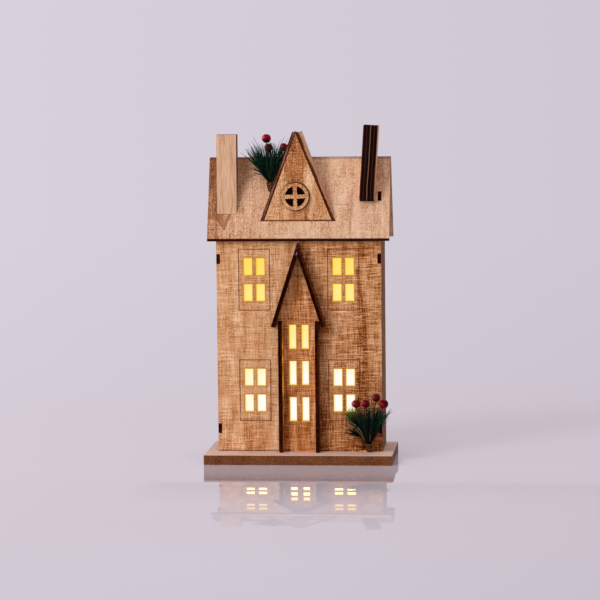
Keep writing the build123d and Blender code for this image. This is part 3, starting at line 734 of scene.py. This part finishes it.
roof_sprig = Sprig(
    name="roof_sprig",
    origin=Vector((-23.79, -6.713, 223.75)),
    across=Vector((0.9991, 0, 0.0419)),
    deep=Vector((-0.0022, 0.9986, 0.0523)),
    along=Vector((-0.0418, -0.0523, 0.9978)),
    spread_left=0.5,
    spread_right=0.62,
    spread_deep=math.tan(math.radians(20)),
    long_share=0.6,
    berries=((-27.32, 2.44, 265.73), (-23.76, -14.37, 258.89), (-12.89, 1.35, 258.53)),
    berry_radii=(3.8, 3.45, 3.45),
    shoots=(
        ((-1, -0.5, 8), (-13, -0.5, 22)),
        ((-1, -0.5, 8), (-6, -3, 25)),
        ((0.5, -0.5, 8), (8, -2, 28)),
    ),
    strays=(
        ((-1.5, -0.5, 8), (-6.5, -1, 18), (-13, -1, 25), (-18.5, -0.5, 30)),
        ((-1.5, -0.5, 8), (-5, -1, 22), (-9, -1, 34), (-13, -0.5, 44)),
        ((-1.5, -0.5, 8), (-5.5, -1, 22), (-10.5, -1, 33), (-14.5, -0.5, 41)),
        ((-1.5, -0.5, 8), (-6.5, -1, 20), (-12, -1, 30), (-17.5, -0.5, 39)),
        ((-1.5, -0.5, 8), (-6.5, -1, 19), (-12.5, -1, 27.5), (-18, -0.5, 34.5)),
        ((-1.5, -0.5, 8), (-6, -1, 16), (-12, -1, 21.5), (-17, -0.5, 24.5)),
        ((1, -0.5, 8), (3.5, -1, 22), (6.5, -1, 33), (9, -0.5, 41.5)),
        ((1, -0.5, 8), (4.5, -1, 22), (8.5, -1, 34), (12.5, -0.5, 44.5)),
        ((1, -0.5, 8), (5, -1, 22), (10, -1, 33), (15.5, -0.5, 42)),
        ((-0.5, -7.5, 36.5), (1.5, -8, 38.3), (5, -7, 37), (8, -5, 30)),
        ((-1.5, -0.5, 7.5), (-6, -0.5, 12.5), (-13, 0, 12), (-22, 0, 8.5)),
        ((-1.5, -0.5, 7.5), (-6, -1, 13), (-12, -1, 13.5), (-20, -1, 10.5)),
    ),
    twigs=(),
    walls=(((0, 5.2, 250.08), roof_facing), ((-4.38, 0, 271.3), dormer_left_facing)),
    seed=8,
)

# Berries painted darker, and by how much; on the roof sprig's second berry this is painted shade
darkened_berries = (
    (roof_sprig.berries[1], 0.85),
    (base_sprig.berries[0], 0.15),
    (base_sprig.berries[1], 0.35),
    (base_sprig.berries[2], 0.6),
)


def local(sprig, across, deep, along):
    return sprig.origin + sprig.across * across + sprig.deep * deep + sprig.along * along


def kept_clear(sprig, point, clearance):
    """The point, moved out of the faces that the sprig is glued to."""
    for spot, facing in sprig.walls:
        facing = Vector(facing)
        short = clearance - (point - Vector(spot)).dot(facing)
        if short > 0:
            point = point + facing * short
    return point


def add_skin(mesh, rings):
    """Faces between rings of vertices, closed at both ends."""
    faces = [mesh.faces.new(list(reversed(rings[0]))), mesh.faces.new(rings[-1])]
    sides = len(rings[0])
    for lower, upper in zip(rings, rings[1:]):
        for side in range(sides):
            after = (side + 1) % sides
            faces.append(mesh.faces.new((lower[side], lower[after], upper[after], upper[side])))
    return faces


def add_tube(mesh, points, radii, sides, material=0):
    """Tube along the points, closed at both ends."""
    rings = []
    for index, (point, radius) in enumerate(zip(points, radii)):
        before = points[max(index - 1, 0)]
        after = points[min(index + 1, len(points) - 1)]
        way = (after - before).normalized()
        aside = way.orthogonal().normalized()
        other = way.cross(aside)
        ring = []
        for side in range(sides):
            turn = 2 * math.pi * side / sides
            spot = point + (aside * math.cos(turn) + other * math.sin(turn)) * radius
            ring.append(mesh.verts.new(spot * mm))
        rings.append(ring)
    for face in add_skin(mesh, rings):
        face.material_index = material


def smooth_path(points, steps):
    """Points on a Catmull-Rom curve through the given ones."""
    ends = [points[0] * 2 - points[1]] + list(points) + [points[-1] * 2 - points[-2]]
    path = []
    for first, second, third, fourth in zip(ends, ends[1:], ends[2:], ends[3:]):
        for step in range(steps):
            share = step / steps
            path.append(
                (
                    second * 2
                    + (third - first) * share
                    + (first * 2 - second * 5 + third * 4 - fourth) * share**2
                    + (second * 3 - first - third * 3 + fourth) * share**3
                )
                / 2
            )
    path.append(points[-1])
    return path


def add_object(name, data):
    made = bpy.data.objects.new(name, data)
    bpy.context.scene.collection.objects.link(made)
    return made


def make_piece(mesh, name, materials, body):
    """Object from a bmesh, riding on a body."""
    data = bpy.data.meshes.new(name)
    bmesh.ops.recalc_face_normals(mesh, faces=mesh.faces)
    mesh.to_mesh(data)
    mesh.free()
    for material in materials:
        data.materials.append(material)
    for face in data.polygons:
        face.use_smooth = True
    piece = add_object(name, data)
    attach(piece, body)
    return piece


def needle_path(sprig, chance, index):
    """Slightly curved line of one needle, from its binding to its tip."""
    ring_share = math.sqrt((index + 0.5) / needle_count)
    turn = 2 * math.pi * index * (math.sqrt(5) - 1) / 2
    spread = sprig.spread_right if math.cos(turn) > 0 else sprig.spread_left
    across = spread * ring_share * math.cos(turn) + chance.gauss(0, needle_scatter)
    deep = sprig.spread_deep * ring_share * math.sin(turn) + chance.gauss(0, needle_scatter)
    share = chance.uniform(0.85, 1) if chance.random() < sprig.long_share else chance.uniform(0.45, 0.85)
    height = needle_height * share * (1 - rim_drop_share * ring_share**2)
    start = Vector((across * stem_top * neck_share, deep * stem_top * neck_share, stem_top - 0.8))
    end = Vector((across, deep, 1)) * height
    bend = Vector((chance.gauss(across, 0.6), chance.gauss(deep, 0.6), -abs(across))) * needle_bend
    points = []
    for step in range(needle_steps + 1):
        share = step / needle_steps
        spot = start.lerp(end, share) + bend * (share**2 - share * 0.5)
        points.append(kept_clear(sprig, local(sprig, *spot), needle_clearance))
    return points


def shoot_paths(sprig, chance):
    """Short needles that lean away from the side shoots."""
    for start, end in sprig.shoots:
        start = sprig.origin + Vector(start)
        end = sprig.origin + Vector(end)
        way = (end - start).normalized()
        for index in range(shoot_needle_count):
            root = start.lerp(end, chance.uniform(0.2, 0.95))
            lean = Vector([chance.gauss(0, shoot_needle_lean) for axis in range(3)])
            tip = root + (way + lean) * chance.uniform(6, 11)
            middle = (root + tip) / 2 + lean * chance.uniform(0, 1.5)
            yield [kept_clear(sprig, spot, needle_clearance) for spot in (root, middle, tip)]


def needle_radii(count, root=needle_root):
    return [root + (needle_tip - root) * (step / (count - 1)) ** 2 for step in range(count)]


def sprig_needles(sprig, greens, brown):
    """Curved needles, side shoots, stray strands and dry twigs, in place of the straight needles."""
    chance = random.Random(sprig.seed)
    mesh = bmesh.new()
    paths = [needle_path(sprig, chance, index) for index in range(needle_count)]
    paths.extend(shoot_paths(sprig, chance))
    for path in paths:
        kind = chance.choices(range(len(greens)), needle_shares)[0]
        add_tube(mesh, path, needle_radii(len(path)), 4, kind)
    for kind, root, lines in ((0, needle_root, sprig.strays), (len(greens), twig_radius, sprig.twigs)):
        for line in lines:
            points = [kept_clear(sprig, sprig.origin + Vector(spot), needle_clearance) for spot in line]
            path = smooth_path(points, 4)
            add_tube(mesh, path, needle_radii(len(path), root), 4, kind)
    piece = make_piece(mesh, sprig.name + "_foliage", greens + [brown], "house")
    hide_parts(sprig.name + "_needles")


def sprig_wires(sprig, material):
    """Bowed wires from the binding into the berries."""
    chance = random.Random(sprig.seed)
    mesh = bmesh.new()
    for berry in sprig.berries:
        end = Vector(berry)
        start = sprig.origin + (end - sprig.origin).normalized() * stem_top
        bow = Vector((chance.uniform(-2, 2), -1.2, 0))
        middle = kept_clear(sprig, (start + end) / 2 + bow, needle_clearance)
        path = smooth_path([start, middle, end], 6)
        add_tube(mesh, path, [wire_radius] * len(path), 6)
    piece = make_piece(mesh, sprig.name + "_bowed_wires", [material], "house")
    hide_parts(sprig.name + "_wires")


def add_berry(mesh, centre, way, full_radius):
    """Berry with a puckered crown and a dimple where its wire goes in."""
    rows = 14
    sides = 20
    turned = way.to_track_quat("Z", "Y").to_matrix()
    rings = []
    for row in range(rows + 1):
        angle = math.pi * row / rows
        crown = 0.12 * math.exp(-((angle / 0.3) ** 2))
        dimple = 0.1 * math.exp(-(((math.pi - angle) / 0.25) ** 2))
        radius = full_radius * (1 - (crown + dimple))
        ring = []
        for side in range(sides):
            turn = 2 * math.pi * side / sides
            lobes = 1 + 0.012 * math.cos(5 * turn)
            flat = max(radius * math.sin(angle), 0.05) * lobes
            spot = Vector((flat * math.cos(turn), flat * math.sin(turn), radius * math.cos(angle)))
            ring.append(mesh.verts.new((centre + turned @ spot) * mm))
        rings.append(ring)
    add_skin(mesh, rings)


def sprig_berries(sprig, material):
    mesh = bmesh.new()
    for berry, radius in zip(sprig.berries, sprig.berry_radii):
        centre = Vector(berry)
        add_berry(mesh, centre, (centre - sprig.origin).normalized(), radius)
    piece = make_piece(mesh, sprig.name + "_fruit", [material], "house")
    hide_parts(sprig.name + "_berries")


def strand(name, dark, light):
    """Plastic strand, mottled between two shades, with painted shade towards its root and a painted yellow
    light next to a lit window.
    """
    graph = Graph(name)
    patches = graph.noise(graph.place, (2, 2, 5))
    shade = graph.ramp(patches, [(0.3, dark), (0.7, light)])
    # Painted shade deep in the sprig, towards the needles' roots.
    height = graph.parts(graph.generated)[2]
    shade = graph.blend(graph.fade(height, 0.6, 0.1, 0, 0.7), shade, black)
    # Painted light from the lit window on the needles next to it.
    lit = graph.fade(graph.vector("DISTANCE", graph.place, lit_needles_place), 11, 4, 0, 0.9)
    shade = graph.blend(lit, shade, colour(118, 132, 14))
    ridges = graph.noise(graph.place, (0.4, 0.4, 2))
    return graph.coat(shade, 0.45, ridges, 0.05, Specular_IOR_Level=0.12)


def berry_skin():
    """Lacquered red, darker in patches, with a painted lit side and a painted highlight where it faces the
    lamp, and painted darker on some berries.
    """
    graph = Graph("berries")
    large = graph.swing(graph.place, 9, 0.25)
    small = graph.swing(graph.place, 2.5, 0.2)
    red = graph.ramp(
        graph.total(large, small, 0.5),
        shades((0.25, 44, 0, 8), (0.5, 96, 0, 15), (0.75, 150, 4, 26)),
    )
    lit = graph.vector("DOT_PRODUCT", graph.normal, berry_highlight_way)
    # Painted lit side and painted highlight, towards the lamp.
    red = graph.blend(graph.fade(lit, 0.5, 1, 0, 0.5), red, colour(176, 12, 38))
    red = graph.blend(graph.fade(lit, 0.95, 0.99, 0, 0.6), red, colour(220, 120, 132))
    # Some berries painted darker; on the roof sprig's second berry this is painted shade.
    for spot, strength in darkened_berries:
        darkening = graph.fade(graph.vector("DISTANCE", graph.place, spot), 4.6, 4, 0, strength)
        red = graph.blend(darkening, red, colour(40, 6, 14))
    return graph.coat(red, 0.2, graph.noise(graph.place, 0.9), 0.03, Specular_IOR_Level=0.06)


def tape():
    """Brown florist's tape with the ridges of its winding."""
    graph = Graph("stem_tape")
    height = graph.parts(graph.place)[2]
    wavering = graph.total(graph.times(height, 4.5), graph.swing(graph.place, 2, 1))
    winding = graph.math("SINE", wavering)
    patches = graph.noise(graph.place, 1.2)
    brown = graph.ramp(patches, shades((0.35, 44, 24, 14), (0.55, 92, 56, 32), (0.7, 160, 112, 66)))
    return graph.coat(brown, 0.7, winding, 0.25, Specular_IOR_Level=0.15)


def wire_coat():
    graph = Graph("berry_wire")
    patches = graph.noise(graph.place, (1, 1, 3))
    brown = graph.ramp(patches, shades((0.3, 40, 24, 18), (0.7, 84, 54, 38)))
    return graph.coat(brown, 0.5, patches, 0.05, Specular_IOR_Level=0.2)


def dress(material, *names):
    for name in names:
        nodes[name].material_slots[0].material = material


def layer_names(side):
    return [f"{side}_chimney_layer_{index}" for index in range(1, 5)]


def dress_house():
    brown_edge = charred_edge(brown_stops)
    left_edge = dormer_edge(95.5, (0.35, 0.8), colour(138, 92, 76))
    right_edge = dormer_edge(100.9, (0.72, 1.1), colour(176, 120, 84))
    front_slope = roof_axes(-1)
    back_slope = roof_axes(1)
    bay_left = sloping(bay_pitch, -1)
    bay_right = sloping(bay_pitch, 1)
    dormer_left = sloping(dormer_pitch + dormer_lean, -1)
    dormer_right = sloping(dormer_pitch - dormer_lean, 1)
    side_walls = ["left_side_wall", "right_side_wall"]
    fins = ["bay_left_fin", "bay_right_fin"]
    roof_panel = ["roof_front_panel"]
    dormer_panel = ["dormer_front"]
    # Name, axes, colours, figure, tone, mark and edge of each plywood, and the panels made of it
    rows = (
        ("wall", upright, wall_stops, wall_figure, wall_tone_and_shade, wall_mark, burnt_edge, ["front_wall"]),
        ("back", upright, wall_stops, wall_figure, 0.55, None, burnt_edge, ["back_wall"]),
        ("side", edgewise, shaded_side_stops, side_figure, 0.27, None, burnt_edge, side_walls),
        ("roof_front", front_slope, roof_stops, roof_figure, roof_tone_and_shade, roof_mark, burnt_edge, roof_panel),
        ("roof_back", back_slope, roof_stops, roof_figure, roof_tone_and_shade, None, burnt_edge, ["roof_back_panel"]),
        ("bay", upright, bay_stops, bay_figure, bay_tone_light_and_shade, bay_mark, burnt_edge, ["bay_front_panel"]),
        # Near-black faces of the fins and the bay's roof strips: painted shade where they turn from the
        # light.
        ("fin", edgewise, wall_stops, wall_figure, 0.08, fin_glow, burnt_edge, fins),
        ("bay_left", bay_left, wall_stops, wall_figure, 0.12, None, glue_and_glint_edge, ["bay_left_roof"]),
        ("bay_right", bay_right, wall_stops, wall_figure, 0.08, None, burnt_edge, ["bay_right_roof"]),
        ("dormer", upright, wall_stops, dormer_figure, dormer_tone, dormer_mark, burnt_edge, dormer_panel),
        ("ring", upright, wall_stops, dormer_figure, 0.58, None, burnt_edge, ["dormer_window_ring"]),
        ("dormer_left", dormer_left, roof_stops, roof_figure, 0.45, None, left_edge, ["dormer_left_roof"]),
        ("dormer_right", dormer_right, roof_stops, roof_figure, 0.5, None, right_edge, ["dormer_right_roof"]),
        ("left_chimney", upright, roof_stops, chimney_figure, 0.5, None, brown_edge, layer_names("left")),
        ("right_chimney", leaning, roof_stops, chimney_figure, 0.5, None, stacked_edge, layer_names("right")),
    )
    for name, axes, stops, figure, tone, mark, edge, panels in rows:
        dress(plywood(name + "_plywood", axes, stops, figure, tone, mark, edge), *panels)
    dress(fibreboard(), "base_plinth")
    dress(window_film(), "left_window_film", "right_window_film", "bay_window_film")


def dress_light():
    white = plastic("cup_plastic", colour(240, 238, 232), 0.4)
    dress(white, "tealight_cup", "tealight_bottom_cover", "tealight_battery_door")
    dress(plastic("switch_plastic", colour(34, 34, 36), 0.5), "tealight_switch")
    dress(plastic("diode_plastic", colour(250, 220, 150), 0.2), "tealight_diode")
    dress(glowing_flame(), "tealight_flame")
    dress(metal("cell_steel", colour(196, 196, 200), 0.3), "tealight_coin_cell")
    brass = metal("contact_brass", colour(214, 178, 106), 0.35)
    dress(brass, "tealight_cell_contact", "tealight_switch_contact")


def dress_sprigs():
    greens = [
        strand("needles_dark", colour(3, 8, 7), colour(9, 24, 19)),
        strand("needles_teal", colour(4, 32, 27), colour(9, 60, 47)),
        strand("needles_green", colour(12, 50, 32), colour(34, 100, 62)),
    ]
    brown = strand("dry_twigs", colour(116, 92, 60), colour(186, 158, 118))
    berries = berry_skin()
    wires = wire_coat()
    for sprig in (base_sprig, roof_sprig):
        sprig_needles(sprig, greens, brown)
        sprig_wires(sprig, wires)
        sprig_berries(sprig, berries)
    dress(tape(), "base_sprig_stem", "roof_sprig_stem")


# Stage: a backdrop that darkens a little to the right, and a polished floor
backdrop_left = colour(216, 209, 220)
backdrop_right = colour(208, 200, 211)
floor_shades = (colour(236, 227, 238), colour(239, 230, 241))
# Painted shade on the floor: share of its colour that shows, by distance in front of the house's middle,
# least where the house shades it
floor_shade_shares = (
    (-571, 0.75), (-320, 0.76), (-230, 0.78), (-180, 0.74),
    (-140, 0.7), (-122, 0.76), (-114, 0.84), (-49, 0.88),
)
polish_focus = (215, -2215, 0)
# How much the floor mirrors, by distance in front of the house's middle
polish_shares = (
    (-571, 0.1), (-370, 0.1), (-300, 0.16), (-230, 0.26),
    (-190, 0.32), (-150, 0.38), (-133, 0.42), (-121, 0.46),
    (-116, 0.74), (-104, 0.68), (-84, 0.6), (-49, 0.54),
)
# How the floor's polish leans towards its front, by distance in front of the house's middle
polish_slopes = (
    (-571, 0.269), (-370, 0.289), (-324, 0.276), (-300, 0.260),
    (-267, 0.235), (-246, 0.223), (-231, 0.206), (-206, 0.179),
    (-177, 0.122), (-156, 0.082), (-133, -0.031), (-121, -0.040),
    (-116, -0.0416), (-84, -0.035), (-49, -0.050),
)


def seen_share(graph):
    """One for rays from the camera, in reflections and through clear things."""
    path = graph.add("ShaderNodeLightPath").outputs
    share = graph.math("MAXIMUM", path["Is Camera Ray"], path["Is Glossy Ray"])
    return graph.math("MAXIMUM", share, path["Is Transmission Ray"])


def backdrop(graph):
    """Colour of the backdrop by direction, darker to the right and a little darker below."""
    way = graph.parts(graph.generated)
    right = graph.fade(way["X"], -0.21, 0.01, kind="LINEAR")
    shade = graph.ramp(right, [(0, backdrop_left), (1, backdrop_right)])
    return graph.vector("SCALE", shade, scale=graph.fade(way["Z"], -0.19, -0.07, 0.925, 1, kind="LINEAR"))


def make_world(ambient):
    graph = Graph("studio", bpy.data.worlds, "Background")
    graph.set(Color=(1, 0.98, 1, 1), Strength=ambient)
    seen = graph.add("ShaderNodeBackground")
    graph.feed(seen.inputs["Color"], backdrop(graph))
    mixed = graph.mix(seen_share(graph), graph.shader.outputs[0], seen.outputs[0])
    graph.feed(graph.tree.nodes["World Output"].inputs["Surface"], mixed)
    bpy.context.scene.world = graph.owner


def by_depth(graph, rows):
    """Value that changes with the distance in front of the house, from rows of distance and value."""
    far = rows[0][0]
    near = rows[-1][0]
    lift = 0.1
    share = graph.math("DIVIDE", graph.less(graph.parts(graph.place)[1], far), near - far)
    stops = [((place - far) / (near - far), (value + lift,) * 3 + (1,)) for place, value in rows]
    return graph.less(graph.ramp(share, stops), lift)


def polish_share(graph):
    """How much the floor mirrors: more beside the house than in its reflection."""
    across = graph.parts(graph.place)[0]
    inside = by_depth(graph, polish_shares)
    outside = graph.fade(graph.math("ABSOLUTE", across), 88, 125)
    beside = graph.fade(across, -60, 60, 0.93, 0.67)
    return graph.total(inside, graph.times(outside, graph.less(beside, inside)))


def polish_normal(graph):
    """Normal of the floor's polish, which leans towards one point and so shortens the reflection."""
    aside = graph.vector("MULTIPLY", graph.vector("SUBTRACT", polish_focus, graph.place), (1, 1, 0))
    lean = graph.vector("SCALE", graph.vector("NORMALIZE", aside), scale=by_depth(graph, polish_slopes))
    return graph.vector("NORMALIZE", graph.vector("ADD", lean, (0, 0, 1)))


def make_floor():
    """Round pale floor with a polish, which melts into the backdrop."""
    mesh = bmesh.new()
    bmesh.ops.create_circle(mesh, cap_ends=True, radius=2, segments=96)
    data = bpy.data.meshes.new("floor")
    mesh.to_mesh(data)
    mesh.free()
    floor = add_object("floor", data)
    graph = Graph("floor")
    paper = graph.noise(graph.place, 300)
    near = graph.ramp(paper, [(0.3, floor_shades[0]), (0.7, floor_shades[1])])
    # Painted shade on the floor in front of the house.
    shade = graph.vector("SCALE", near, scale=by_depth(graph, floor_shade_shares))
    graph.set(Base_Color=shade, Roughness=0.8, Specular_IOR_Level=0)
    gloss = graph.add("ShaderNodeBsdfAnisotropic")
    graph.feed(gloss.inputs["Color"], (0.97, 0.94, 0.935, 1))
    graph.feed(gloss.inputs["Roughness"], 0.015)
    graph.feed(gloss.inputs["Normal"], polish_normal(graph))
    polished = graph.mix(polish_share(graph), graph.shader.outputs[0], gloss.outputs[0])
    clear = graph.add("ShaderNodeBsdfTransparent")
    far = graph.fade(graph.vector("LENGTH", graph.place), 250, 700)
    melting = graph.mix(far, polished, clear.outputs[0])
    graph.feed(graph.tree.nodes["Material Output"].inputs["Surface"], melting)
    data.materials.append(graph.owner)


def make_lamp(name, place, target, size, power):
    """Soft lamp that the floor's polish does not mirror."""
    data = bpy.data.lights.new(name, "AREA")
    data.size = size
    data.energy = power
    lamp = add_object(name, data)
    lamp.visible_glossy = False
    lamp.location = place
    lamp.rotation_euler = (Vector(target) - Vector(place)).to_track_quat("-Z", "Y").to_euler()


def make_camera():
    """Camera fitted to the photograph's corners."""
    yaw = 0.0972543
    pitch = 0.0960250
    roll = -0.0103746
    ahead = Vector((-math.sin(yaw) * math.cos(pitch), math.cos(yaw) * math.cos(pitch), -math.sin(pitch)))
    level = Vector((math.cos(yaw), math.sin(yaw), 0))
    up = level.cross(ahead)
    right = level * math.cos(roll) + up * math.sin(roll)
    up = up * math.cos(roll) - level * math.sin(roll)
    data = bpy.data.cameras.new("camera")
    data.sensor_width = 36
    data.lens = 161.966
    camera = add_object("camera", data)
    turned = Matrix((right, up, -ahead)).transposed().to_4x4()
    camera.matrix_world = Matrix.Translation((0.215475, -2.214952, 0.346370)) @ turned
    bpy.context.scene.camera = camera


make_camera()
make_world(ambient=0.65)
make_floor()
make_lamp("key", place=(-1.5, -1.7, 1.5), target=(0, 0, 0.13), size=0.9, power=38)
dress_house()
dress_light()
dress_sprigs()
bpy.context.scene.view_settings.view_transform = "Standard"
